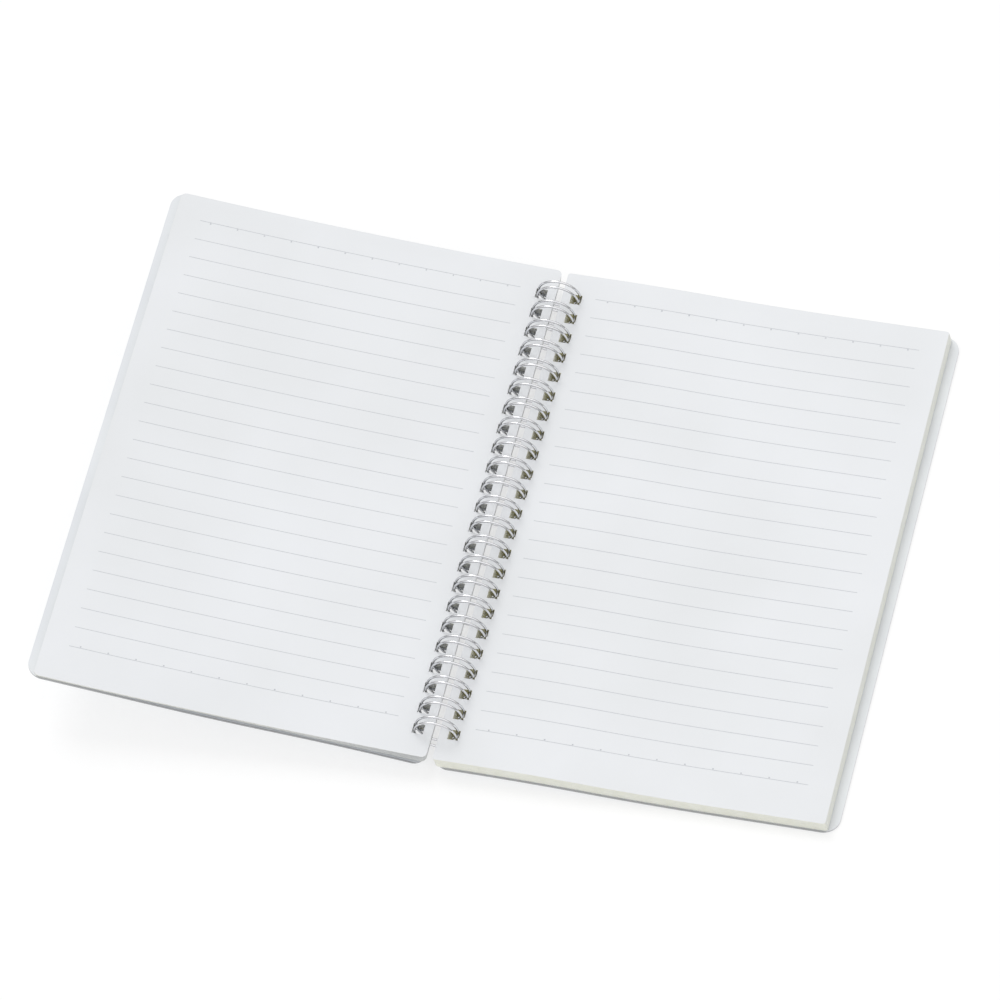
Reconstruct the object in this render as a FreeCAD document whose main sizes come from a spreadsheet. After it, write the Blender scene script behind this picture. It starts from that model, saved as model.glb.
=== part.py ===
"""Open twin-loop wire notebook, lying flat with a few leaves turned.

Millimetres. The spine runs along Y, +X is the unturned half, +Z is up.
The origin is on the table, under the middle of the wire binding.
"""
import FreeCAD, Part
import math
import os
from FreeCAD import Vector

# Driving sizes, in millimetres and degrees
SIZES = {
    "page_width": 140.0,
    "page_height": 208.0,
    "cover_side_margin": 3.5,
    "cover_end_margin": 0.6,
    "cover_thickness": 0.5,
    "cover_outer_corner": 6.0,
    "cover_spine_corner": 4.5,
    "cover_rise": 2.6,
    "front_lift": 9.0,
    "rise_length": 90.0,
    "rise_start": 10.0,
    "spine_edge": 1.6,
    "spine_slant": 0.9,
    "remaining_thickness": 4.6,
    "turned_thickness": 0.6,
    "turned_edge_height": 7.1,
    "turned_bow": 1.4,
    "sheet_clearance": 0.1,
    "hole_size": 4.0,
    "hole_edge": 4.8,
    "hole_pitch": 8.467,
    "hole_count": 23,
    "wire_diameter": 0.9,
    "ring_radius": 7.6,
    "loop_width": 2.5,
    "wire_bend": 0.9,
    "closure_angle": -62.0,
    "closure_gap": 1.2,
    "wire_sides": 6,
    "ring_runs": 16,
    "bend_runs": 2,
}

# Two edges are one and the same when they agree this closely
SAME_PLACE = 0.001

doc = FreeCAD.newDocument("notebook")
sheet = doc.addObject("Spreadsheet::Sheet", "sizes")
for row, (alias, value) in enumerate(SIZES.items(), start=1):
    sheet.set(f"A{row}", alias)
    sheet.set(f"B{row}", str(value))
    sheet.setAlias(f"B{row}", alias)
doc.recompute()


def size(alias):
    """Return one size from the sheet."""
    return float(getattr(sheet, alias))


def bind(obj, prop, formula):
    """Tie a property to the sheet; each word in braces is a size."""
    for alias in SIZES:
        formula = formula.replace("{" + alias + "}", f"<<sizes>>.{alias}")
    obj.setExpression(prop, formula)


def origin_plane(body, role):
    """Return the body's own origin plane or axis with this role."""
    return next(item for item in body.Origin.OriginFeatures if item.Role == role)


def new_sketch(body, name, role):
    """Add an empty sketch on one of the body's origin planes."""
    sketch = body.newObject("Sketcher::SketchObject", name)
    sketch.AttachmentSupport = [(origin_plane(body, role), "")]
    sketch.MapMode = "FlatFace"
    return sketch


# Section curves, in the X-Z plane
def lifted_curve(offset, start, end, side):
    """Return the edges of a sheet's surface that lies flat and lifts towards the spine.

    The lift is two equal arcs, one hollow and one crowned. A surface above the
    lowest one is parallel to it at the given offset.
    """
    rise, run = size("cover_rise"), size("rise_length")
    top_x = size("rise_start")
    low_x = top_x + run
    radius = (run * run + rise * rise) / (4 * rise)
    turn = math.asin(run / 2 / radius)
    hollow_centre = Vector(low_x, 0, radius)
    crown_centre = Vector(top_x, 0, rise - radius)
    hollow, crown = radius - offset, radius + offset

    def on_arc(centre, reach, angle, up):
        return centre + Vector(reach * math.sin(angle), 0, up * reach * math.cos(angle))

    points = [
        Vector(end, 0, offset),
        on_arc(hollow_centre, hollow, 0, -1),
        on_arc(hollow_centre, hollow, -turn / 2, -1),
        on_arc(hollow_centre, hollow, -turn, -1),
        on_arc(crown_centre, crown, turn / 2, 1),
        on_arc(crown_centre, crown, 0, 1),
        Vector(start, 0, rise + offset),
    ]
    points = [Vector(side * p.x, 0, p.z) for p in points]
    return [
        Part.LineSegment(points[0], points[1]),
        Part.Arc(points[1], points[2], points[3]),
        Part.Arc(points[3], points[4], points[5]),
        Part.LineSegment(points[5], points[6]),
    ]


def bowed_curve(height, side):
    """Return the arc of a sheet that leans from the cover's edge up to the wire."""
    inner = Vector(side * size("spine_edge"), 0, size("turned_edge_height") + height)
    outer = Vector(
        side * (size("spine_edge") + size("page_width")),
        0,
        size("cover_thickness") + size("sheet_clearance") + height,
    )
    middle = (inner + outer) * 0.5 - Vector(0, 0, size("turned_bow"))
    return [Part.Arc(outer, middle, inner)]


def end_point(curve, last):
    """Return the first or last point of a curve."""
    return curve.EndPoint if last else curve.StartPoint


def sheet_body(name, lower, upper, margin, outer_corner=None, spine_corner=None):
    """Make a sheet or a stack of sheets from the two curves of its section.

    The section is padded along the spine, its corners are rounded and the row
    of square binding holes is punched through it.
    """
    body = doc.addObject("PartDesign::Body", name)
    body.Label = name
    section = new_sketch(body, name + "_section", "XZ_Plane")
    ends = [
        Part.LineSegment(end_point(lower[-1], True), end_point(upper[-1], True)),
        Part.LineSegment(end_point(lower[0], False), end_point(upper[0], False)),
    ]
    for curve in lower + upper + ends:
        flat = curve.copy()
        flat.rotate(FreeCAD.Placement(Vector(), Vector(1, 0, 0), -90))
        section.addGeometry(flat, False)
    doc.recompute()
    pad = body.newObject("PartDesign::Pad", name + "_pad")
    pad.Profile = section
    bind(pad, "Length", "{page_height} + 2 * " + margin)
    pad.Midplane = True
    doc.recompute()
    if outer_corner:
        round_corners(body, pad, name, outer_corner, spine_corner)
    punch_holes(body, name)
    return body


def round_corners(body, pad, name, outer_corner, spine_corner):
    """Round the four corners of a cover in plan."""
    upright = [
        edge.CenterOfMass
        for edge in pad.Shape.Edges
        if abs(edge.Length - size("cover_thickness")) < SAME_PLACE
    ]
    middle = size("rise_start") + size("rise_length") / 2
    previous = pad
    for place, corner in (("outer", outer_corner), ("spine", spine_corner)):
        wanted = [centre for centre in upright if (abs(centre.x) > middle) == (place == "outer")]
        names = [
            f"Edge{index}"
            for index, edge in enumerate(previous.Shape.Edges, start=1)
            if any((edge.CenterOfMass - centre).Length < SAME_PLACE for centre in wanted)
        ]
        fillet = body.newObject("PartDesign::Fillet", f"{name}_{place}_corners")
        fillet.Base = (previous, names)
        bind(fillet, "Radius", "{" + corner + "}")
        doc.recompute()
        previous = fillet


def punch_holes(body, name):
    """Punch the row of square holes that the wire goes through."""
    side = 1 if body.Shape.BoundBox.Center.x > 0 else -1
    hole = new_sketch(body, name + "_hole", "XY_Plane")
    half = size("hole_size") / 2
    centre_x = side * (size("spine_edge") + size("hole_edge"))
    first_y = -(size("hole_count") - 1) * size("hole_pitch") / 2
    corners = [
        Vector(centre_x - half, first_y - half, 0),
        Vector(centre_x + half, first_y - half, 0),
        Vector(centre_x + half, first_y + half, 0),
        Vector(centre_x - half, first_y + half, 0),
    ]
    for index, corner in enumerate(corners):
        hole.addGeometry(Part.LineSegment(corner, corners[(index + 1) % 4]), False)
    doc.recompute()
    pocket = body.newObject("PartDesign::Pocket", name + "_punch")
    pocket.Profile = hole
    pocket.Type = "ThroughAll"
    pocket.Reversed = True
    doc.recompute()
    row = body.newObject("PartDesign::LinearPattern", name + "_hole_row")
    row.Originals = [pocket]
    row.Direction = (origin_plane(body, "Y_Axis"), [""])
    bind(row, "Length", "({hole_count} - 1) * {hole_pitch}")
    bind(row, "Occurrences", "{hole_count}")
    body.Tip = row
    doc.recompute()


# Covers, thin plastic sheets that lie flat and lift on to the wire
def cover(name, side):
    """Make one cover on the given side of the spine."""
    edge = size("spine_edge")
    outer = edge + size("page_width") + size("cover_side_margin")
    return sheet_body(
        name,
        lifted_curve(0, edge, outer, side),
        lifted_curve(size("cover_thickness"), edge, outer, side),
        "{cover_end_margin}",
        "cover_outer_corner",
        "cover_spine_corner",
    )


back_cover = cover("back_cover", 1)
front_cover = cover("front_cover", -1)


# Leaves, each stack one solid
def remaining_stack():
    """Make the thick stack of unturned leaves on the back cover."""
    seat = size("cover_thickness") + size("sheet_clearance")
    outer = size("spine_edge") + size("page_width")
    return sheet_body(
        "remaining_leaves",
        lifted_curve(seat, size("spine_edge") + size("spine_slant"), outer, 1),
        lifted_curve(seat + size("remaining_thickness"), size("spine_edge"), outer, 1),
        "0",
    )


def turned_stack():
    """Make the thin stack of turned leaves that leans on the front cover."""
    return sheet_body(
        "turned_leaves",
        bowed_curve(0, -1),
        bowed_curve(size("turned_thickness"), -1),
        "0",
    )


remaining_leaves = remaining_stack()
turned_leaves = turned_stack()


# The front half stays a little raised, turned about the ring axis
def raise_half(bodies):
    """Turn the bodies of the front half up from the table about the ring axis."""
    axis = Vector(0, 0, size("ring_radius") + size("wire_diameter") / 2)
    turn = FreeCAD.Rotation(Vector(0, 1, 0), size("front_lift"))
    for body in bodies:
        body.Placement = FreeCAD.Placement(Vector(), turn, axis)


raise_half([front_cover, turned_leaves])


# Wire binding, one continuous comb of double loops
FULL_TURN = 2 * math.pi


def on_ring(angle, y):
    """Return the point of the wire's centre line at this angle round the ring."""
    reach = size("ring_radius")
    height = reach + size("wire_diameter") / 2
    return Vector(reach * math.cos(angle), y, height + reach * math.sin(angle))


def along_ring(angle):
    """Return the direction in which the wire runs at this angle."""
    return Vector(-math.sin(angle), 0, math.cos(angle))


def short_runs(first, last, runs, point):
    """Return the ends of the short straight runs that make up one bend."""
    return [point(first + (last - first) * step / runs) for step in range(runs + 1)]


def double_loop(middle, base, tip):
    """Return the centre line of one double loop: bend, ring, tip, ring and bend."""
    half, bend = size("loop_width") / 2, size("wire_bend")
    ring_runs, small_runs = int(size("ring_runs")), int(size("bend_runs"))
    line = []
    for side in (-1, 1):
        y = middle + side * half
        foot = on_ring(base, y) + Vector(0, side * bend, 0)
        corner = short_runs(0, math.pi / 2, small_runs, lambda turn: foot
                            - along_ring(base) * bend * math.cos(turn)
                            - Vector(0, side * bend * math.sin(turn), 0))
        ring = short_runs(base, tip, ring_runs, lambda angle: on_ring(angle, y))
        line.append(corner[:-1] + ring)
    turn = short_runs(-math.pi / 2, math.pi / 2, 2 * small_runs, lambda angle: on_ring(tip, middle)
                      + along_ring(tip) * half * math.cos(angle)
                      + Vector(0, half * math.sin(angle), 0))
    return line[0] + turn[1:-1] + line[1][::-1]


def comb_line():
    """Return the centre line of the whole comb, with half a link left at each end."""
    bend, radius = size("wire_bend"), size("ring_radius")
    base = math.radians(size("closure_angle")) + bend / radius
    tip_reach = size("closure_gap") + size("wire_diameter") + size("loop_width") / 2
    tip = math.radians(size("closure_angle")) + FULL_TURN - tip_reach / radius
    half_link = Vector(0, (size("hole_pitch") - size("loop_width")) / 2 - bend, 0)
    count = int(size("hole_count"))
    points = []
    for index in range(count):
        middle = (index - (count - 1) / 2) * size("hole_pitch")
        points += double_loop(middle, base, tip)
    return Part.makePolygon([points[0] - half_link] + points + [points[-1] + half_link])


wire_line = doc.addObject("Part::Feature", "wire_line")
wire_line.Shape = comb_line()

wire_section = doc.addObject("Part::RegularPolygon", "wire_section")
bind(wire_section, "Polygon", "{wire_sides}")
bind(
    wire_section,
    "Circumradius",
    "{wire_diameter} / 2 * sqrt(2 * pi / ({wire_sides} * sin(360 deg / {wire_sides})))",
)
wire_section.Placement = FreeCAD.Placement(
    wire_line.Shape.Edges[0].Vertexes[0].Point,
    FreeCAD.Rotation(Vector(0, 0, 1), Vector(0, 1, 0)),
)

wire_binding = doc.addObject("Part::Sweep", "wire_binding")
wire_binding.Label = "wire_binding"
wire_binding.Sections = [wire_section]
wire_binding.Spine = (wire_line, [f"Edge{n + 1}" for n in range(len(wire_line.Shape.Edges))])
wire_binding.Solid = True
wire_binding.Frenet = False
wire_binding.Transition = "Right corner"
doc.recompute()

# Checks and export
parts = [front_cover, turned_leaves, wire_binding, remaining_leaves, back_cover]
for obj in doc.Objects:
    if "Invalid" in obj.State or "Error" in obj.State:
        raise RuntimeError(f"{obj.Name} failed: {obj.State}")
for part in parts:
    if part.Shape.isNull() or not part.Shape.isValid() or len(part.Shape.Solids) != 1:
        raise RuntimeError(f"{part.Label} is not one valid solid")

os.makedirs("parts", exist_ok=True)
for part in parts:
    part.Shape.exportStep(f"parts/{part.Label}.step")
    box = part.Shape.BoundBox
    print(part.Label, round(part.Shape.Volume, 1), box)
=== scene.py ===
"""Looks of an open twin-loop notebook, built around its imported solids.

Metres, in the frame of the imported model: the spine runs along Y, +X is the unturned half
and +Z is up. Sizes that the solids share are written in millimetres, as in their source.
"""

import logging
import math
from dataclasses import dataclass, replace
from enum import Enum
from functools import cache
from typing import Callable

import bmesh
import bpy
from mathutils import Matrix, Vector

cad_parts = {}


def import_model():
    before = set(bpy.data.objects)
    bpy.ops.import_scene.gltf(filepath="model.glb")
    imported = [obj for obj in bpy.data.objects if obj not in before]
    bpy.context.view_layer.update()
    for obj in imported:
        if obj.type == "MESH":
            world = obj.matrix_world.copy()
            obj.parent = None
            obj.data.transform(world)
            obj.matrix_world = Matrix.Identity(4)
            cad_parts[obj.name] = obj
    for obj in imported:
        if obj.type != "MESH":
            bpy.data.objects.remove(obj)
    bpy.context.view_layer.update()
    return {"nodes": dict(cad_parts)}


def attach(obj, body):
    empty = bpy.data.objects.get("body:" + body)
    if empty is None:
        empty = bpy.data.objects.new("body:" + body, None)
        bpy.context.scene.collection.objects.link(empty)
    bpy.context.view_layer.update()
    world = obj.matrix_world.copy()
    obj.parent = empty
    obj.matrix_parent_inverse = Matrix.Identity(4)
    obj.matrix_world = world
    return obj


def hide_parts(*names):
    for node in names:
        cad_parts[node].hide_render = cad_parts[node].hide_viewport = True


LOG = logging.getLogger("notebook")
MM = 0.001
WHITE = (1.0, 1.0, 1.0, 1.0)
UNIT = (0.0, 1.0)
# How sharply the lower leaves curl down at the spine.
CURL_POWER = 3.0

Colour = tuple[float, float, float]
Span = tuple[float, float]
Point2 = tuple[float, float]
Point3 = tuple[float, float, float]
Profile = Callable[[float], float]
Socket = bpy.types.NodeSocket
Tree = bpy.types.NodeTree
Mesh = bpy.types.Mesh
Object = bpy.types.Object
Number = Socket | float
Inputs = dict[str | int, object]


def linear(red: float, green: float, blue: float) -> Colour:
    """Turn a screen colour into the linear colour that a shader takes.

    Args:
        red: Red from 0 to 255.
        green: Green from 0 to 255.
        blue: Blue from 0 to 255.

    Returns:
        The three linear values, from 0 to 1.
    """

    def one(value: float) -> float:
        """Return one channel as a linear value."""
        share = value / 255
        return share / 12.92 if share <= 0.04045 else ((share + 0.055) / 1.055) ** 2.4

    return one(red), one(green), one(blue)


class Half(Enum):
    """The two halves of the open notebook."""

    FRONT = "front_half"
    BACK = "back_half"

    @property
    def side(self) -> int:
        """The half's side of the spine, as a sign along X."""
        return -1 if self is Half.FRONT else 1


@dataclass(frozen=True)
class Layout:
    """Sizes in millimetres that the leaves, the covers and the wire share.

    Attributes:
        page_height: Height of a leaf, along the spine.
        spine_edge: Distance of a leaf's inner edge from the middle of the spine.
        outer_edge: Distance of its outer edge.
        seat: Height of the lowest leaf of the back half above the table.
        hole_size: Side of a square hole.
        hole_reach: Distance of a hole's middle from the middle of the spine.
        hole_pitch: Distance from one hole to the next.
        hole_count: Number of holes in the row.
        wire_diameter: Thickness of the wire.
        ring_radius: Radius of a ring, at the wire's middle.
        axis_height: Height of the rings' middle above the table.
        front_lift: Angle in degrees by which the front half is raised.
    """

    page_height: float = 208.0
    spine_edge: float = 1.15
    outer_edge: float = 141.6
    seat: float = 0.6
    hole_size: float = 4.0
    hole_reach: float = 6.4
    hole_pitch: float = 8.467
    hole_count: int = 23
    wire_diameter: float = 0.82
    ring_radius: float = 7.6
    axis_height: float = 8.05
    front_lift: float = 9.0

    @property
    def page_width(self) -> float:
        """The width of a leaf."""
        return self.outer_edge - self.spine_edge

    def hole_middles(self) -> list[float]:
        """Return the places of the holes along the spine."""
        first = -(self.hole_count - 1) / 2 * self.hole_pitch
        return [first + index * self.hole_pitch for index in range(self.hole_count)]

    def raised(self, half: Half) -> Matrix:
        """Return the turn about the ring axis that puts a flat half where it lies.

        Args:
            half: The half.

        Returns:
            The turn, in metres. The back half lies flat and isn't turned.
        """
        if half is Half.BACK:
            return Matrix.Identity(4)
        axis = Vector((0, 0, self.axis_height * MM))
        turn = Matrix.Rotation(math.radians(self.front_lift), 4, "Y")
        return Matrix.Translation(axis) @ turn @ Matrix.Translation(-axis)


LAYOUT = Layout()


@dataclass(frozen=True)
class Net:
    """A node tree in the making, with the steps that all the trees are built from.

    Attributes:
        tree: The tree.
    """

    tree: Tree

    @classmethod
    def start(cls, name: str, inputs: list[tuple[str, str]]) -> "Net":
        """Start a geometry tree with named inputs.

        Args:
            name: The tree's name.
            inputs: Pairs of input name and kind, such as Float, Int or Material.

        Returns:
            The tree, with a geometry input first and a geometry output.
        """
        tree = bpy.data.node_groups.new(name, "GeometryNodeTree")
        for label, kind in [("Geometry", "Geometry"), *inputs]:
            tree.interface.new_socket(label, in_out="INPUT", socket_type=f"NodeSocket{kind}")
        tree.interface.new_socket("Geometry", in_out="OUTPUT", socket_type="NodeSocketGeometry")
        tree.nodes.new("NodeGroupInput").name = "entry"
        return cls(tree)

    @property
    def entry(self) -> bpy.types.NodeOutputs:
        """The sockets of a geometry tree's inputs."""
        return self.tree.nodes["entry"].outputs

    def end(self, shape: Socket) -> Tree:
        """End a geometry tree with its finished shape, and return it."""
        self.add("NodeGroupOutput", {"Geometry": shape})
        return self.tree

    def fill(self, node: bpy.types.Node, values: Inputs) -> None:
        """Fill a node's inputs.

        Args:
            node: The node.
            values: Values, or the sockets that give them, by input name or number.
        """
        for label, value in values.items():
            if isinstance(value, Socket):
                self.tree.links.new(value, node.inputs[label])
            else:
                node.inputs[label].default_value = value

    def add(self, kind: str, inputs: Inputs | None = None, **options: object) -> bpy.types.Node:
        """Add a node with its options and its inputs.

        Args:
            kind: The node's type.
            inputs: Values, or the sockets that give them, by input name or number.
            **options: The node's own options, such as its operation.

        Returns:
            The node.
        """
        made = self.tree.nodes.new(kind)
        for label, option in options.items():
            setattr(made, label, option)
        self.fill(made, inputs or {})
        return made

    def step(self, kind: str, shape: Socket, **inputs: object) -> Socket:
        """Add a step that takes a shape and gives a shape.

        Args:
            kind: The node's type.
            shape: The socket with the shape that it takes.
            **inputs: Its other inputs by name.

        Returns:
            The socket with the shape that it gives.
        """
        return self.add(kind, {"Geometry": shape, **inputs}).outputs["Geometry"]

    def maths(self, operation: str, first: Number, second: Number = 0.0) -> Socket:
        """Add one arithmetic step.

        Args:
            operation: The step, such as ADD or MULTIPLY.
            first: The first value or the socket that gives it.
            second: The second value or the socket that gives it.

        Returns:
            The socket that holds the result.
        """
        inputs = {0: first, 1: second}
        return self.add("ShaderNodeMath", inputs, operation=operation).outputs["Value"]

    def vector(self, **parts: Number) -> Socket:
        """Return the socket of a vector made of the parts named X, Y or Z."""
        return self.add("ShaderNodeCombineXYZ", parts).outputs["Vector"]

    def part(self, vector: Socket, axis: str) -> Socket:
        """Return the socket of a vector's part along the axis named X, Y or Z."""
        return self.add("ShaderNodeSeparateXYZ", {"Vector": vector}).outputs[axis]

    def ranged(self, value: Socket, source: Span = UNIT, target: Span = UNIT) -> Socket:
        """Map a value from one span to another, and hold it there.

        Args:
            value: The socket with the value.
            source: Its start and end.
            target: The start and end of the result.

        Returns:
            The socket that holds the result.
        """
        inputs = {"Value": value}
        for name, span in (("From", source), ("To", target)):
            inputs[f"{name} Min"], inputs[f"{name} Max"] = span
        return self.add("ShaderNodeMapRange", inputs).outputs["Result"]

    def blend(self, share: Socket, zero: object, one: object) -> Socket:
        """Blend two colours.

        Args:
            share: The socket with the share of the second colour.
            zero: The colour at a share of zero, or the socket that gives it.
            one: The colour at a share of one, or the socket that gives it.

        Returns:
            The socket with the blend.
        """
        inputs = {"Factor": share, "A": zero, "B": one}
        return self.add("ShaderNodeMix", inputs, data_type="RGBA").outputs["Result"]


class Grain:
    """The shader group for fine texture that paper, plastic, plating and ink share.

    Attributes:
        NAME: The group's name.
        INPUTS: The inputs with the values that they start from.
        CLOUD_SPAN: The part of the cloud's values that is stretched to full tone.
        FIBRE_SHARE: Scale of the coarser of the two grains, as a share of the finer.
        DETAILS: Detail of the cloud, of the finer grain and of the coarser one.
    """

    NAME = "fine_grain"
    INPUTS = {"Cloud Scale": 40.0, "Grain Scale": 2000.0}
    CLOUD_SPAN = (0.3, 0.7)
    FIBRE_SHARE = 0.35
    DETAILS = (3.0, 2.0, 4.0)

    @classmethod
    def group(cls) -> Tree:
        """Return the group, built on first use.

        Returns:
            A group that gives a slow change of tone and a fine height.
        """
        found = bpy.data.node_groups.get(cls.NAME)
        if found:
            return found
        tree = bpy.data.node_groups.new(cls.NAME, "ShaderNodeTree")
        net, kind = Net(tree), "NodeSocketFloat"
        for name, value in cls.INPUTS.items():
            socket = tree.interface.new_socket(name, in_out="INPUT", socket_type=kind)
            socket.default_value = value
        for name in ("Tone", "Height"):
            tree.interface.new_socket(name, in_out="OUTPUT", socket_type=kind)
        entry = net.add("NodeGroupInput").outputs
        place = net.add("ShaderNodeTexCoord").outputs["Object"]
        coarser = net.maths("MULTIPLY", entry["Grain Scale"], cls.FIBRE_SHARE)
        scales = (entry["Cloud Scale"], entry["Grain Scale"], coarser)
        waves = []
        for scale, detail in zip(scales, cls.DETAILS):
            wave = {"Vector": place, "Scale": scale, "Detail": detail}
            waves.append(net.add("ShaderNodeTexNoise", wave).outputs["Fac"])
        tone = net.ranged(waves[0], source=cls.CLOUD_SPAN)
        height = net.maths("ADD", waves[1], waves[2])
        net.add("NodeGroupOutput", {"Tone": tone, "Height": height})
        return tree


@dataclass(frozen=True)
class Finish:
    """One surface finish: two tones of a colour, its gloss and its grain.

    Attributes:
        name: The material's name.
        light: Linear colour of the lighter tone.
        dark: Linear colour of the darker tone.
        gloss: Roughness at the lighter and at the darker tone.
        cloud: Size of the slow change of tone, in waves to the metre.
        grain: Size of the fine grain, in waves to the metre.
        relief: Depth of the grain in metres.
        metallic: One for bare metal.
        specular: Strength of the plain gloss.
        rim: Linear colour of the faces that stand upright and of the sheet's strips at the head
            and
            the foot, where it differs: a darker grey, partly the cut edge's own and partly
                painted shade.
        painted_shade_from: Distance along the spine, in metres, from which all faces take the
            rim's painted shade.
        painted_shade_fade: Length over which that painted shade begins there, in metres.
        painted_edge_slope: Upward share of a face's direction where the dark rim ends and is
            gone.
        outline: Linear colour of a painted dark reflection where the surface turns away from
            view, where it differs.
        dark_reflection_span: How far it has turned away where the painted reflection begins and
            is full.
    """

    name: str
    light: Colour
    dark: Colour
    gloss: Span
    cloud: float
    grain: float
    relief: float
    metallic: float = 0.0
    specular: float = 0.5
    rim: Colour | None = None
    painted_shade_from: float = 1.0
    painted_shade_fade: float = 0.05 * MM
    painted_edge_slope: Span = (0.35, 0.65)
    outline: Colour | None = None
    dark_reflection_span: Span = (0.4, 0.85)

    def material(self) -> bpy.types.Material:
        """Build the material, or find it where it is built.

        Returns:
            The material.
        """
        found = bpy.data.materials.get(self.name)
        if found:
            return found
        made = bpy.data.materials.new(self.name)
        made.use_nodes = True
        net = Net(made.node_tree)
        scales = {"Cloud Scale": self.cloud, "Grain Scale": self.grain}
        grain = net.add("ShaderNodeGroup", scales, node_tree=Grain.group())
        tone = grain.outputs["Tone"]
        colour = net.blend(tone, (*self.light, 1.0), (*self.dark, 1.0))
        if self.rim:
            # Painted shade: the rim's darker grey on the upright faces and on the sheet's ends.
            colour = self.dark_edges_and_painted_shade(net, colour)
        if self.outline:
            # Painted dark reflection where the surface turns away from view.
            colour = self.with_painted_dark_reflection(net, colour)
        relief = {"Distance": self.relief, "Height": grain.outputs["Height"]}
        values = {
            "Metallic": self.metallic,
            "Specular IOR Level": self.specular,
            "Base Color": colour,
            "Roughness": net.ranged(tone, target=self.gloss),
            "Normal": net.add("ShaderNodeBump", relief).outputs["Normal"],
        }
        net.fill(net.tree.nodes["Principled BSDF"], values)
        return made

    def dark_edges_and_painted_shade(self, net: Net, colour: Socket) -> Socket:
        """Give the upright faces and the ends of the sheet the rim's darker grey: partly the cut
        edge's own colour, partly painted shade where the leaves overhang.

        Args:
            net: The material's tree.
            colour: The socket with the colour of the other faces.

        Returns:
            The socket with both.
        """
        place = net.add("ShaderNodeTexCoord").outputs
        ends = (self.painted_shade_from + self.painted_shade_fade, self.painted_shade_from)
        shares = []
        for source, axis, span in (("Normal", "Z", self.painted_edge_slope), ("Object", "Y", ends)):
            size = net.maths("ABSOLUTE", net.part(place[source], axis))
            shares.append(net.ranged(size, source=span))
        return net.blend(net.maths("MULTIPLY", *shares), (*self.rim, 1.0), colour)

    def with_painted_dark_reflection(self, net: Net, colour: Socket) -> Socket:
        """Paint a dark reflection where the surface turns away from view, as bright wire on
        white shows.

        Args:
            net: The material's tree.
            colour: The socket with the colour seen straight on.

        Returns:
            The socket with both.
        """
        turned = net.add("ShaderNodeLayerWeight").outputs["Facing"]
        shown = net.ranged(turned, self.dark_reflection_span, (1.0, 0.0))
        return net.blend(shown, (*self.outline, 1.0), colour)


PAGE = Finish(
    "writing_paper",
    light=linear(237, 239, 242),
    dark=linear(232, 234, 236),
    gloss=(0.62, 0.72),
    cloud=18.0,
    grain=3200.0,
    relief=0.012 * MM,
    specular=0.3,
)
# Cut edges: the paper's own cream, painted paler than the page tops as light on the upright
# sides.
CUT_EDGE_PAINTED_LIGHT = Finish(
    "cut_paper_edge_painted_light",
    light=linear(250, 250, 238),
    dark=linear(244, 244, 228),
    gloss=(0.8, 0.9),
    cloud=260.0,
    grain=5200.0,
    relief=0.03 * MM,
    specular=0.2,
)
# Hole walls: the same paper as the cut edges, painted darker and olive as the shade and bounce
# light inside the holes.
HOLE_WALL_PAINTED_SHADE = replace(
    CUT_EDGE_PAINTED_LIGHT,
    name="hole_wall_painted_shade",
    light=linear(206, 200, 134),
    dark=linear(176, 169, 104),
)
FROSTED = Finish(
    "frosted_cover",
    light=linear(231, 234, 237),
    dark=linear(224, 227, 231),
    # rim: darker grey on the covers' cut edges and on their strips past the leaves, partly the
    # plastic's own edge colour and partly painted shade.
    rim=linear(175, 176, 178),
    painted_shade_from=104.1 * MM,
    gloss=(0.38, 0.5),
    cloud=30.0,
    grain=2600.0,
    relief=0.02 * MM,
)
PLATING = Finish(
    "bright_wire",
    light=linear(238, 238, 240),
    dark=linear(222, 223, 227),
    gloss=(0.07, 0.13),
    cloud=400.0,
    grain=6000.0,
    relief=0.002 * MM,
    metallic=1.0,
    # outline: painted dark reflection along the wire's sides, where it turns away from view.
    outline=linear(56, 56, 61),
)
INK = Finish(
    "rule_ink",
    light=linear(206, 208, 212),
    dark=linear(196, 199, 204),
    gloss=(0.6, 0.7),
    cloud=900.0,
    grain=7000.0,
    relief=0.002 * MM,
    specular=0.2,
)


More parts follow.
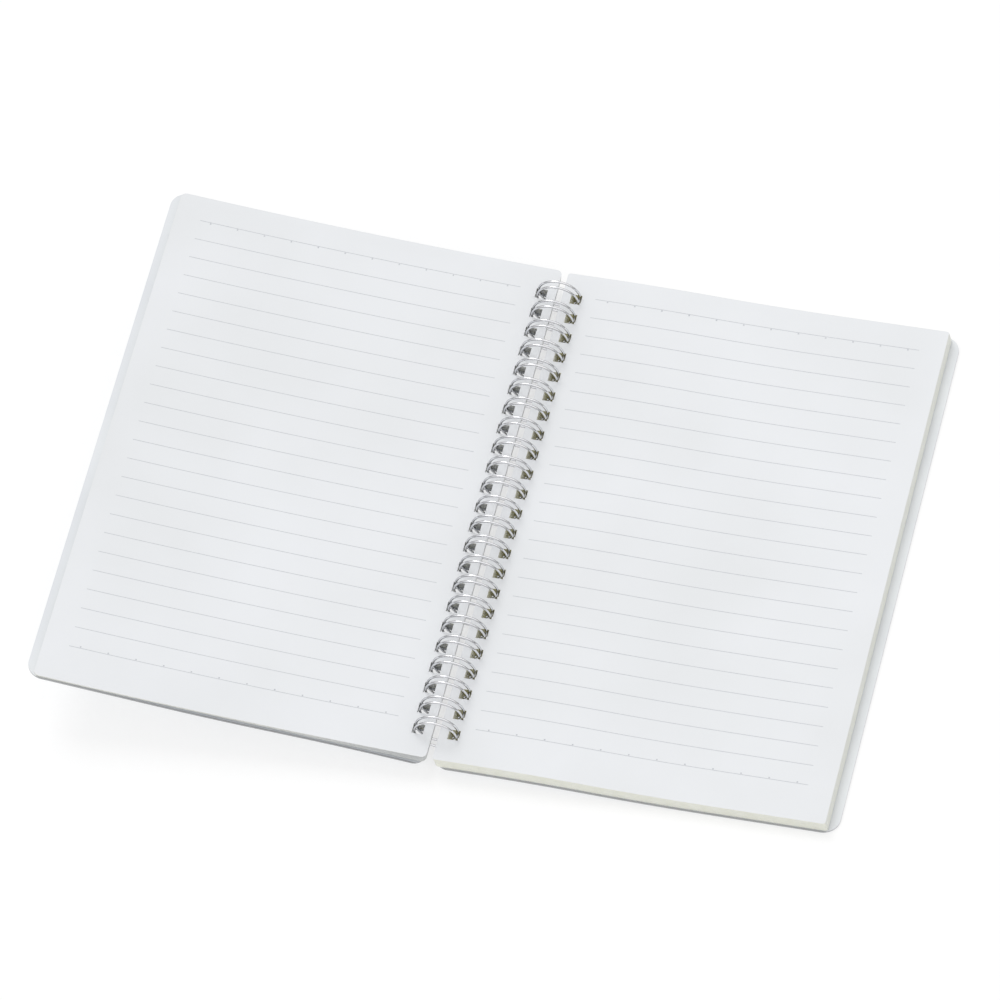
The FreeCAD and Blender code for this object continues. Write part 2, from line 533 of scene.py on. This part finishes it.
class Builder:
    """Helpers that run a geometry tree and put its piece in the scene."""

    @staticmethod
    def run(source: Object, tree: Tree, values: dict[str, object]) -> Mesh:
        """Run a tree on an object and return the plain mesh that it makes.

        Args:
            source: The object that the tree starts from. It is removed.
            tree: The tree.
            values: The tree's inputs by name.

        Returns:
            The finished mesh.
        """
        modifier = source.modifiers.new(tree.name, "NODES")
        modifier.node_group = tree
        for item in tree.interface.items_tree:
            if item.item_type == "SOCKET" and item.in_out == "INPUT" and item.name in values:
                modifier[item.identifier] = values[item.name]
        graph = bpy.context.evaluated_depsgraph_get()
        mesh = bpy.data.meshes.new_from_object(source.evaluated_get(graph))
        source.modifiers.remove(modifier)
        bpy.data.objects.remove(source)
        return mesh

    @staticmethod
    def scratch(name: str, data: bpy.types.ID) -> Object:
        """Put a new object in the scene.

        Args:
            name: The object's name.
            data: Its mesh, camera or light.

        Returns:
            The object, at the origin.
        """
        made = bpy.data.objects.new(name, data)
        bpy.context.scene.collection.objects.link(made)
        return made

    @staticmethod
    def piece(
        name: str,
        mesh: Mesh,
        body: str,
        slot: str | None = None,
        replaced: str | None = None,
    ) -> Object:
        """Add a finished piece and tie it to its body.

        Args:
            name: The piece's name.
            mesh: Its mesh, already in place.
            body: The body that it rides on.
            slot: The material slot that it would take its finish from; not used.
            replaced: The node that it stands for.

        Returns:
            The piece's object, at the origin.
        """
        mesh.name = name
        made = Builder.scratch(name, mesh)
        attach(made, body)
        if replaced:
            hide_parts(replaced)
        LOG.info("%s: %d faces on %s", name, len(mesh.polygons), body)
        return made

    @staticmethod
    def closed(name: str, shell: bmesh.types.BMesh) -> Mesh:
        """Turn a closed shell's faces outwards and keep it as a mesh.

        Args:
            name: The mesh's name.
            shell: The shell. It is freed.

        Returns:
            The mesh.
        """
        bmesh.ops.recalc_face_normals(shell, faces=shell.faces)
        mesh = bpy.data.meshes.new(name)
        shell.to_mesh(mesh)
        shell.free()
        return mesh


@dataclass(frozen=True)
class Lift:
    """The curve of the back half's lowest leaf: two tangent arcs up to the wire.

    Attributes:
        start: Distance from the middle of the spine at which the leaf is highest, in mm.
        run: Length over which it comes down to the cover's level, in mm.
        rise: How much higher it is at the wire, in mm.
    """

    start: float = 10.0
    run: float = 90.0
    rise: float = 2.6

    def height(self, x: float) -> float:
        """Return the leaf's height.

        Args:
            x: Distance from the middle of the spine, in mm.

        Returns:
            The height in mm.
        """
        run, rise = self.run, self.rise
        radius = (run * run + rise * rise) / (4 * rise)
        away = min(max(self.start + run - x, 0.0), run)
        if away <= run / 2:
            return LAYOUT.seat + radius - math.sqrt(radius * radius - away * away)
        left = run - away
        return LAYOUT.seat + rise - radius + math.sqrt(radius * radius - left * left)


@dataclass(frozen=True)
class Lean:
    """The curve of the front half's lowest leaf: a slack bow that leans on the wire.

    Attributes:
        start: Distance from the middle of the spine at which the bow begins, in mm.
        top: Height there, in mm.
        rest: Height of its outer edge, on the cover, in mm.
        bow: How far its middle hangs below the straight line, in mm.
    """

    start: float = 1.6
    top: float = 7.1
    rest: float = 0.5
    bow: float = 1.4

    def height(self, x: float) -> float:
        """Return the leaf's height.

        Args:
            x: Distance from the middle of the spine, in mm.

        Returns:
            The height in mm, before the front half is raised.
        """
        share = (x - self.start) / (LAYOUT.outer_edge - self.start)
        chord = self.top + (self.rest - self.top) * share
        return chord - 4 * self.bow * share * (1 - share)


@dataclass(frozen=True)
class LeafStack:
    """A stack of separate punched leaves that stands for one solid of the model.

    Attributes:
        name: The piece's name.
        node: The node that it replaces.
        slot: Its material slot.
        half: The half that it lies in.
        height: Height of the lowest leaf's underside at a distance from the spine, in mm.
        stations: Distances from the spine where the leaves bend, in mm.
        leaves: How many leaves it has.
        thickness: Thickness of the whole stack in mm.
        fan: How far the lowest leaf hangs below the stack at the spine, in mm.
        slant: How far the lowest leaf is shifted away from the spine, in mm.
        scatter: How unevenly the leaves lie, in mm.
        seed: Seed of that unevenness.
        leaf_share: Share of the pitch that paper fills.
        head: How much longer the leaves are at the head, in mm.
        wide: How much further the leaves reach at the outer edge, in mm.
        corner: Radius of the corners in mm.
        corner_runs: Straight runs in one corner.
        head_margin: How far the holes keep from the head and the foot, in mm.
    """

    name: str
    node: str
    slot: str
    half: Half
    height: Profile
    stations: tuple[float, ...]
    leaves: int
    thickness: float
    fan: float = 0.0
    slant: float = 0.0
    scatter: float = 0.12
    seed: int = 1
    leaf_share: float = 0.86
    head: float = 0.0
    wide: float = 0.0
    corner: float = 0.9
    corner_runs: int = 3
    head_margin: float = 1.0

    @property
    def pitch(self) -> float:
        """The distance from one leaf to the next, in mm."""
        return self.thickness / (self.leaves - 1 + self.leaf_share)

    def surface(self, x: float) -> float:
        """Return the height of the top leaf at this distance from the spine, both in mm."""
        return self.height(x) + self.thickness

    def outline(self) -> list[list[Point2]]:
        """Return the flat faces of one leaf, with its holes left open.

        Returns:
            Polygons as points of distance from the spine and place along it, in mm.
        """
        foot = -LAYOUT.page_height / 2
        top = self.head - foot
        near, far = LAYOUT.spine_edge, LAYOUT.outer_edge + self.wide - self.slant
        half = LAYOUT.hole_size / 2
        middle = LAYOUT.hole_reach
        low, high = middle - half, middle + half
        edges = [y + step for y in LAYOUT.hole_middles() for step in (-half, half)]
        rows = [foot, *edges, top]
        bends = [x for x in self.stations if high < x < far]
        reach, runs = self.corner, self.corner_runs

        def corner(x: float, y: float, start: float) -> list[Point2]:
            """Round one corner of the leaf.

            Args:
                x: The corner's distance from the spine, in mm.
                y: Its place along the spine, in mm.
                start: The angle at which its arc starts, in degrees.

            Returns:
                The points of the arc.
            """
            centre = (x - math.copysign(reach, x - middle), y - math.copysign(reach, y))
            turns = [math.radians(start + 90 * step / runs) for step in range(runs + 1)]
            return [
                (centre[0] + reach * math.cos(turn), centre[1] + reach * math.sin(turn))
                for turn in turns
            ]

        faces = [corner(near, top, 90) + corner(near, foot, 180) + [(low, y) for y in rows]]
        faces += [
            [(low, a), (high, a), (high, b), (low, b)] for a, b in zip(rows[::2], rows[1::2])
        ]
        faces.append([(high, y) for y in reversed(rows)] + [(bends[0], foot), (bends[0], top)])
        faces += [[(a, foot), (b, foot), (b, top), (a, top)] for a, b in zip(bends, bends[1:])]
        last = [(bends[-1], top), (bends[-1], foot)]
        faces.append(last + corner(far, foot, 270) + corner(far, top, 0))
        return faces

    def leaf(self) -> Mesh:
        """Build one leaf with its thickness, bent to the stack's own curve.

        Returns:
            A closed mesh with its cut faces marked.
        """
        side, depth = self.half.side, self.pitch * self.leaf_share
        made = bmesh.new()
        rim, hole = (made.faces.layers.bool.new(name) for name in ("rim", "hole"))
        corners: dict[tuple[float, float, int], bmesh.types.BMVert] = {}

        def vertex(point: Point2, level: int) -> bmesh.types.BMVert:
            """Find or make the vertex at a point of the leaf.

            Args:
                point: Distance from the spine and place along it, in mm.
                level: Nought for the underside, one for the top.

            Returns:
                The vertex that all faces there share.
            """
            key = (round(point[0], 4), round(point[1], 4), level)
            if key not in corners:
                z = self.height(point[0]) + level * depth
                corners[key] = made.verts.new((side * point[0] * MM, point[1] * MM, z * MM))
            return corners[key]

        for polygon in self.outline():
            for level in (0, 1):
                made.faces.new([vertex(point, level) for point in polygon])
        places = {corner: place for place, corner in corners.items()}
        hole_end = LAYOUT.hole_reach + LAYOUT.hole_size / 2
        hole_row = LAYOUT.page_height / 2 - self.head_margin
        for edge in [edge for edge in made.edges if edge.is_boundary]:
            first, second = (places[end] for end in edge.verts)
            if first[2] or second[2]:
                continue
            around = ((first, 0), (second, 0), (second, 1), (first, 1))
            wall = made.faces.new([corners[(*place[:2], level)] for place, level in around])
            punched = all(
                LAYOUT.spine_edge < x <= hole_end and abs(y) < hole_row
                for x, y, _ in (first, second)
            )
            wall[hole if punched else rim] = True
        return Builder.closed(self.name + "_leaf", made)

    @staticmethod
    @cache
    def tree() -> Tree:
        """Build the tree that piles the leaves up, once for both stacks.

        Returns:
            The tree. It takes one leaf and gives the stack, with its finishes.
        """
        inputs = [(name, "Int") for name in ("Leaves", "Seed")]
        sizes = ("Pitch", "Scatter", "Slant", "Fan", "Spine Edge", "Width")
        inputs += [(name, "Float") for name in sizes]
        inputs += [(name, "Material") for name in ("Page", "Rim", "Hole")]
        net = Net.start("leaf_pile", inputs)
        entry = net.entry
        line = {"Count": entry["Leaves"], "Offset": net.vector(Z=entry["Pitch"])}
        pile = net.add("GeometryNodeMeshLine", line).outputs["Mesh"]
        leaves = {"Points": pile, "Instance": entry["Geometry"]}
        laid = net.add("GeometryNodeInstanceOnPoints", leaves).outputs["Instances"]
        most = entry["Scatter"]
        least = net.maths("MULTIPLY", most, -1.0)
        spread = {
            "Min": net.vector(X=least, Y=least),
            "Max": net.vector(X=most, Y=most),
            "Seed": entry["Seed"],
        }
        uneven = net.add("FunctionNodeRandomValue", spread, data_type="FLOAT_VECTOR")
        shift = {"Instances": laid, "Translation": uneven.outputs["Value"]}
        moved = net.add("GeometryNodeTranslateInstances", shift).outputs["Instances"]
        index = net.add("GeometryNodeInputIndex").outputs["Index"]
        last = net.maths("SUBTRACT", entry["Leaves"], 1.0)
        layer = {"Geometry": moved, "Name": "layer", "Value": net.maths("DIVIDE", index, last)}
        marked = net.add(
            "GeometryNodeStoreNamedAttribute", layer, data_type="FLOAT", domain="INSTANCE"
        )
        shape = net.step("GeometryNodeRealizeInstances", marked.outputs["Geometry"])
        shape = net.step("GeometryNodeSetPosition", shape, Offset=LeafStack.sag(net))
        kind = "GeometryNodeSetMaterial"
        shape = net.step(kind, shape, Material=entry["Page"])
        for name in ("Rim", "Hole"):
            part = LeafStack.mark(net, name.lower(), "BOOLEAN")
            shape = net.step(kind, shape, Selection=part, Material=entry[name])
        return net.end(shape)

    @staticmethod
    def mark(net: Net, name: str, kind: str) -> Socket:
        """Read a named mark of the leaves.

        Args:
            net: The tree.
            name: The mark's name.
            kind: Its kind, such as FLOAT or BOOLEAN.

        Returns:
            The socket with its value.
        """
        marked = net.add("GeometryNodeInputNamedAttribute", {"Name": name}, data_type=kind)
        return marked.outputs["Attribute"]

    @staticmethod
    def sag(net: Net) -> Socket:
        """Add the steps that shift the lower leaves outwards and let them hang.

        Args:
            net: The tree.

        Returns:
            The socket with how far each point moves.
        """
        entry = net.entry
        under = net.maths("SUBTRACT", 1.0, LeafStack.mark(net, "layer", "FLOAT"))
        position = net.add("GeometryNodeInputPosition").outputs["Position"]
        away = net.maths("ABSOLUTE", net.part(position, "X"))
        reach = net.maths("SUBTRACT", away, entry["Spine Edge"])
        share = net.maths("DIVIDE", reach, entry["Width"])
        curl = net.maths("POWER", net.maths("SUBTRACT", 1.0, share), CURL_POWER)
        most = net.maths("MULTIPLY", entry["Fan"], under)
        hang = net.maths("MULTIPLY", most, curl)
        back = net.maths("MULTIPLY", entry["Slant"], under)
        return net.vector(X=back, Z=net.maths("MULTIPLY", hang, -1.0))

    def build(self) -> Object:
        """Build the stack and put it on its half.

        Returns:
            The finished piece.
        """
        mesh = Builder.run(
            Builder.scratch(self.name + "_leaf", self.leaf()),
            self.tree(),
            {
                "Leaves": self.leaves,
                "Seed": self.seed,
                "Pitch": self.pitch * MM,
                "Scatter": self.scatter * MM,
                "Slant": self.slant * MM,
                "Fan": self.fan * MM,
                "Spine Edge": LAYOUT.spine_edge * MM,
                "Width": LAYOUT.page_width * MM,
                "Page": PAGE.material(),
                # Cut edges take the cream paper with painted light.
                "Rim": CUT_EDGE_PAINTED_LIGHT.material(),
                # Hole walls take the painted shade of the holes.
                "Hole": HOLE_WALL_PAINTED_SHADE.material(),
            },
        )
        mesh.transform(LAYOUT.raised(self.half))
        return Builder.piece(self.name, mesh, self.half.value, self.slot, self.node)


@dataclass(frozen=True)
class RuledPage:
    """The print on one page: its rules, and the fine marks on the first and the last.

    Attributes:
        name: The start of the pieces' names.
        half: The half that the page lies in.
        surface: Height of the page's surface at a distance from the spine, in mm.
        inner: Where the rules start, from the middle of the spine, in mm.
        length: Length of a rule in mm.
        rules: How many rules the page has.
        rule_pitch: Distance from one rule to the next, in mm.
        last_rule: Place of the lowest rule along the spine, in mm.
        rule_width: Width of a rule in mm.
        relief: How far the print stands above the page, in mm.
        sunk: How far a rule reaches into the page, in mm.
        runs: Straight runs along a rule.
        mark_pitch: Distance from one mark to the next, in mm.
        mark_start: Distance of the first mark from the rules' outer end, in mm.
        mark_size: Side of a mark in mm.
        mark_gap: Distance of a mark's middle from its rule, in mm.
    """

    name: str
    half: Half
    surface: Profile
    inner: float
    length: float = 118.6
    rules: int = 24
    rule_pitch: float = 8.0
    last_rule: float = -89.6
    rule_width: float = 0.22
    relief: float = 0.02
    sunk: float = 0.015
    runs: int = 24
    mark_pitch: float = 10.0
    mark_start: float = 4.0
    mark_size: float = 0.56
    mark_gap: float = 0.5

    @property
    def first_rule(self) -> float:
        """The place of the highest rule along the spine, in mm."""
        return self.last_rule + (self.rules - 1) * self.rule_pitch

    def strip(self) -> Mesh:
        """Build the first rule as a thin closed strip that follows the page.

        Returns:
            The strip's mesh, at the first rule's place.
        """
        side, wide = self.half.side, self.rule_width / 2
        low, high = -self.sunk, self.relief
        section = ((-wide, low), (wide, low), (wide, high), (-wide, high))
        made, rings = bmesh.new(), []
        for step in range(self.runs + 1):
            x = self.inner + self.length * step / self.runs
            z = self.surface(x)
            ring = [(side * x, self.first_rule + across, z + up) for across, up in section]
            rings.append([made.verts.new([value * MM for value in point]) for point in ring])
        for one, two in zip(rings, rings[1:]):
            for index in range(len(section)):
                after = (index + 1) % len(section)
                made.faces.new((one[index], one[after], two[after], two[index]))
        for end in (rings[0], rings[-1]):
            made.faces.new(end)
        return Builder.closed(self.name + "_strip", made)

    def mark_places(self) -> Mesh:
        """Return the places of the fine marks as loose points.

        Returns:
            A mesh of points just below the first rule and just above the last.
        """
        count = int((self.length - self.mark_start) / self.mark_pitch) + 1
        outer = self.inner + self.length - self.mark_start
        places = [
            (self.half.side * x * MM, y * MM, self.surface(x) * MM)
            for x in (outer - index * self.mark_pitch for index in range(count))
            for y in (self.first_rule - self.mark_gap, self.last_rule + self.mark_gap)
        ]
        mesh = bpy.data.meshes.new(self.name + "_places")
        mesh.from_pydata(places, [], [])
        return mesh

    @staticmethod
    @cache
    def rule_tree() -> Tree:
        """Build the tree that repeats one rule down the page, once for both pages.

        Returns:
            The tree. It takes the first rule and gives them all, inked.
        """
        net = Net.start("rules", [("Rules", "Int"), ("Pitch", "Float"), ("Ink", "Material")])
        down = net.maths("MULTIPLY", net.entry["Pitch"], -1.0)
        line = {"Count": net.entry["Rules"], "Offset": net.vector(Y=down)}
        column = net.add("GeometryNodeMeshLine", line).outputs["Mesh"]
        return RuledPage.lay(net, column, net.entry["Geometry"])

    @staticmethod
    @cache
    def mark_tree() -> Tree:
        """Build the tree that sets a small mark at each place, once for both pages.

        Returns:
            The tree. It takes the places and gives the marks, inked.
        """
        net = Net.start("marks", [("Size", "Float"), ("Height", "Float"), ("Ink", "Material")])
        side = net.entry["Size"]
        size = net.vector(X=side, Y=side, Z=net.entry["Height"])
        mark = net.add("GeometryNodeMeshCube", {"Size": size}).outputs["Mesh"]
        return RuledPage.lay(net, net.entry["Geometry"], mark)

    @staticmethod
    def lay(net: Net, points: Socket, item: Socket) -> Tree:
        """End a tree by setting an item on each point and inking it.

        Args:
            net: The tree.
            points: The socket with the points.
            item: The socket with the item's mesh.

        Returns:
            The finished tree.
        """
        places = {"Points": points, "Instance": item}
        laid = net.add("GeometryNodeInstanceOnPoints", places).outputs["Instances"]
        shape = net.step("GeometryNodeRealizeInstances", laid)
        return net.end(net.step("GeometryNodeSetMaterial", shape, Material=net.entry["Ink"]))

    def build(self) -> None:
        """Build the rules and the marks and put them on their half."""
        ink = INK.material()
        rules = Builder.run(
            Builder.scratch(self.name + "_strip", self.strip()),
            self.rule_tree(),
            {"Rules": self.rules, "Pitch": self.rule_pitch * MM, "Ink": ink},
        )
        marks = Builder.run(
            Builder.scratch(self.name + "_places", self.mark_places()),
            self.mark_tree(),
            {"Size": self.mark_size * MM, "Height": 2 * self.relief * MM, "Ink": ink},
        )
        for name, mesh in (("rules", rules), ("marks", marks)):
            mesh.transform(LAYOUT.raised(self.half))
            Builder.piece(f"{self.name}_{name}", mesh, self.half.value)


@dataclass(frozen=True)
class Binding:
    """The twin-loop wire: one round wire bent into a comb of double loops.

    Attributes:
        loop_width: Distance between the two wires of a loop, in mm.
        bend: Radius of the bend at a loop's foot, in mm.
        closure_angle: Angle round the ring of the comb's back, in degrees.
        tip_reach: Distance that a loop's tip keeps from the comb's back, in mm.
        ring_runs: Straight runs in one ring.
        bend_runs: Straight runs in one quarter of a bend.
        wire_sides: Sides of the wire's section.
    """

    loop_width: float = 2.5
    bend: float = 0.9
    closure_angle: float = -62.0
    tip_reach: float = 3.35
    ring_runs: int = 44
    bend_runs: int = 5
    wire_sides: int = 14

    def on_ring(self, angle: float, y: float) -> Vector:
        """Return the point of the wire's middle at this angle round the ring."""
        reach = LAYOUT.ring_radius
        return Vector((reach * math.cos(angle), y, LAYOUT.axis_height + reach * math.sin(angle)))

    def loop(self, middle: float, base: float, tip: float) -> list[Vector]:
        """Return the line of one double loop.

        Args:
            middle: The loop's place along the spine, in mm.
            base: The angle at which its two feet leave the comb's back.
            tip: The angle of its closed end.

        Returns:
            The points of the line, in mm.
        """
        half, bend, runs = self.loop_width / 2, self.bend, self.bend_runs

        def along(angle: float) -> Vector:
            """Return the wire's direction at this angle."""
            return Vector((-math.sin(angle), 0, math.cos(angle)))

        def across(reach: float) -> Vector:
            """Return a step along the spine."""
            return Vector((0, reach, 0))

        sides = []
        for side in (-1, 1):
            y = middle + side * half
            foot = self.on_ring(base, y) + across(side * bend)
            turns = [math.pi / 2 * step / runs for step in range(runs)]
            corner = [
                foot - along(base) * bend * math.cos(turn) - across(side * bend * math.sin(turn))
                for turn in turns
            ]
            shares = [step / self.ring_runs for step in range(self.ring_runs + 1)]
            ring = [self.on_ring(base + (tip - base) * share, y) for share in shares]
            sides.append(corner + ring)
        turns = [math.pi * step / (2 * runs) - math.pi / 2 for step in range(1, 2 * runs)]
        top = self.on_ring(tip, middle)
        end = [
            top + along(tip) * half * math.cos(turn) + across(half * math.sin(turn))
            for turn in turns
        ]
        return sides[0] + end + sides[1][::-1]

    def line(self) -> Mesh:
        """Lay out the middle line of the whole comb.

        Returns:
            A mesh with one chain of edges.
        """
        closure = math.radians(self.closure_angle)
        base = closure + self.bend / LAYOUT.ring_radius
        tip = closure + 2 * math.pi - self.tip_reach / LAYOUT.ring_radius
        points = [point for y in LAYOUT.hole_middles() for point in self.loop(y, base, tip)]
        link = Vector((0, (LAYOUT.hole_pitch - self.loop_width) / 2 - self.bend, 0))
        points = [points[0] - link, *points, points[-1] + link]
        mesh = bpy.data.meshes.new("wire_line")
        chain = [(index, index + 1) for index in range(len(points) - 1)]
        mesh.from_pydata([point * MM for point in points], chain, [])
        return mesh

    @staticmethod
    def tree() -> Tree:
        """Build the tree that gives a chain of edges the wire's round section.

        Returns:
            The tree. It takes the middle line and gives the plated wire.
        """
        inputs = [("Radius", "Float"), ("Sides", "Int"), ("Plating", "Material")]
        net = Net.start("round_wire", inputs)
        ring = {"Resolution": net.entry["Sides"], "Radius": net.entry["Radius"]}
        section = net.add("GeometryNodeCurvePrimitiveCircle", ring).outputs["Curve"]
        chain = {"Mesh": net.entry["Geometry"]}
        curve = net.add("GeometryNodeMeshToCurve", chain).outputs["Curve"]
        sweep = {"Curve": curve, "Profile Curve": section, "Fill Caps": True}
        shape = net.add("GeometryNodeCurveToMesh", sweep).outputs["Mesh"]
        shape = net.step("GeometryNodeSetShadeSmooth", shape)
        shape = net.step("GeometryNodeRealizeInstances", shape)
        plated = net.step("GeometryNodeSetMaterial", shape, Material=net.entry["Plating"])
        return net.end(plated)

    def build(self) -> Object:
        """Build the wire and put it on its body.

        Returns:
            The finished piece.
        """
        mesh = Builder.run(
            Builder.scratch("wire_line", self.line()),
            self.tree(),
            {
                "Radius": LAYOUT.wire_diameter / 2 * MM,
                "Sides": self.wire_sides,
                "Plating": PLATING.material(),
            },
        )
        return Builder.piece("twin_loop_wire", mesh, "binding", "wire", "wire_binding")


@dataclass(frozen=True)
class Covers:
    """The two frosted covers, which keep the shape of their solids.

    Attributes:
        nodes: The names of their solids.
    """

    nodes: tuple[str, str] = ("front_cover", "back_cover")

    def dress(self, solids: dict[str, Object]) -> None:
        """Give the covers their finish.

        Args:
            solids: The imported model's objects by name.
        """
        for name in self.nodes:
            solids[name].data.materials.clear()
            solids[name].data.materials.append(FROSTED.material())
            LOG.info("%s: kept and dressed", name)


@dataclass(frozen=True)
class Studio:
    """The pale table, the soft light and the camera.

    Attributes:
        right: The direction that is to the right in the picture.
        down: The direction that is down in the picture.
        forward: The direction in which the camera looks.
        place: The camera's place in metres.
        lens: The lens that fits the photograph's outlines best, in mm.
        sensor: The width that the lens is meant for, in mm.
        reach: How near and how far the camera sees, in metres.
        table_size: Side of the table in metres.
        table_drop: How far the table lies below the object, in metres.
        table_level: Brightness of the open table, where one is white.
        table_share: The part of it that the object can shade.
        table_dim: How much less the table gives off for the light on the object.
        table_gloss: Roughness of the table.
        sky: Strength of the even light of the room.
        sun: Strength of the key light.
        sun_spread: How wide the key light is, in degrees.
        sun_from: The direction that it comes from.
        band: Heights between which the mirrored room turns from dark to bright.
        band_level: The mirrored room's brightness below and above that band.
    """

    right: Point3 = (0.96814, 0.23215, -0.09388)
    down: Point3 = (0.14492, -0.82516, -0.54599)
    forward: Point3 = (-0.20422, 0.51499, -0.83251)
    place: Point3 = (0.6498, -1.6353, 2.6591)
    lens: float = 324.0
    sensor: float = 36.0
    reach: Span = (0.1, 50.0)
    table_size: float = 8.0
    table_drop: float = 0.0001
    table_level: float = 1.022
    table_share: float = 0.45
    table_dim: float = 0.05
    table_gloss: float = 0.9
    sky: float = 0.82
    sun: float = 0.75
    sun_spread: float = 30.0
    sun_from: Point3 = (-0.42, 0.52, 0.75)
    band: Span = (0.1, 0.6)
    band_level: Span = (0.2, 1.1)

    def camera(self) -> None:
        """Add the camera."""
        data = bpy.data.cameras.new("camera")
        data.sensor_width = self.sensor
        data.lens = self.lens
        data.clip_start, data.clip_end = self.reach
        made = Builder.scratch("camera", data)
        axes = zip(self.right, (-v for v in self.down), (-v for v in self.forward))
        turn = Matrix([list(row) for row in axes]).to_4x4()
        made.matrix_world = Matrix.Translation(self.place) @ turn
        bpy.context.scene.camera = made

    def table(self) -> None:
        """Add the pale table, which keeps the object's soft shadow."""
        half = self.table_size / 2
        mesh = bpy.data.meshes.new("table")
        corners = [(-half, -half), (half, -half), (half, half), (-half, half)]
        mesh.from_pydata([(x, y, -self.table_drop) for x, y in corners], [], [(0, 1, 2, 3)])
        made = Builder.scratch("table", mesh)
        paint = bpy.data.materials.new("table_paint")
        paint.use_nodes = True
        net = Net(paint.node_tree)
        glow = self.table_level - self.table_share
        values = {
            "Base Color": (*[self.table_share] * 3, 1.0),
            "Roughness": self.table_gloss,
            "Specular IOR Level": 0.0,
            "Emission Color": WHITE,
            "Emission Strength": self.seen(net, glow - self.table_dim, glow),
        }
        net.fill(net.tree.nodes["Principled BSDF"], values)
        mesh.materials.append(paint)

    @staticmethod
    def seen(net: Net, plain: float, shown: float, mirrored: Socket | None = None) -> Socket:
        """Return a value that differs for what the camera, gloss or glass shows.

        Args:
            net: The tree of the material or the world.
            plain: The value for the light that falls on things.
            shown: The value where it is seen.
            mirrored: The socket with the value for gloss, where it differs.

        Returns:
            The socket with the value.
        """
        path = net.add("ShaderNodeLightPath").outputs
        total = path["Is Camera Ray"]
        for ray in ("Is Glossy Ray", "Is Transmission Ray"):
            rays = {0: total, 1: path[ray]}
            either = net.add("ShaderNodeMath", rays, operation="ADD", use_clamp=True)
            total = either.outputs["Value"]
        value = net.ranged(total, target=(plain, shown))
        if mirrored:
            choice = {"Factor": path["Is Glossy Ray"], "A": value, "B": mirrored}
            value = net.add("ShaderNodeMix", choice).outputs["Result"]
        return value

    def light(self) -> None:
        """Add the soft key light and the even light of the room."""
        data = bpy.data.lights.new("window", "SUN")
        data.energy = self.sun
        data.angle = math.radians(self.sun_spread)
        made = Builder.scratch("window", data)
        made.rotation_euler = Vector(self.sun_from).to_track_quat("Z", "Y").to_euler()
        world = bpy.data.worlds.new("room")
        world.use_nodes = True
        bpy.context.scene.world = world
        net = Net(world.node_tree)
        way = net.add("ShaderNodeTexCoord").outputs["Generated"]
        mirrored = net.ranged(net.part(way, "Z"), self.band, self.band_level)
        strength = self.seen(net, self.sky, 1.0, mirrored)
        net.fill(net.tree.nodes["Background"], {"Color": WHITE, "Strength": strength})

    def build(self) -> None:
        """Build the whole studio."""
        self.camera()
        self.table()
        self.light()
        bpy.context.scene.view_settings.view_transform = "Standard"


def main() -> None:
    """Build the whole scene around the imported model."""
    logging.basicConfig(level=logging.INFO, format="%(name)s: %(message)s")
    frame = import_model()
    Covers().dress(frame["nodes"])
    Binding().build()
    turned = LeafStack(
        name="turned_pages",
        node="turned_leaves",
        slot="turned_paper",
        half=Half.FRONT,
        height=Lean().height,
        stations=tuple(12.0 + 10.0 * step for step in range(13)),
        leaves=6,
        thickness=0.6,
        fan=2.7,
        scatter=0.08,
        head=0.4,
        wide=0.5,
        seed=4,
        corner=1.9,
        corner_runs=4,
    )
    block = LeafStack(
        name="remaining_pages",
        node="remaining_leaves",
        slot="stack_paper",
        half=Half.BACK,
        height=Lift().height,
        stations=(10.0, *(16.0 + 7.0 * step for step in range(13)), 120.0),
        leaves=46,
        thickness=4.6,
        slant=0.6,
        scatter=0.06,
        leaf_share=0.95,
        seed=7,
    )
    for stack, inner in ((turned, 14.3), (block, 13.3)):
        stack.build()
        RuledPage(stack.name, stack.half, stack.surface, inner).build()
    Studio().build()


if __name__ == "__main__":
    main()
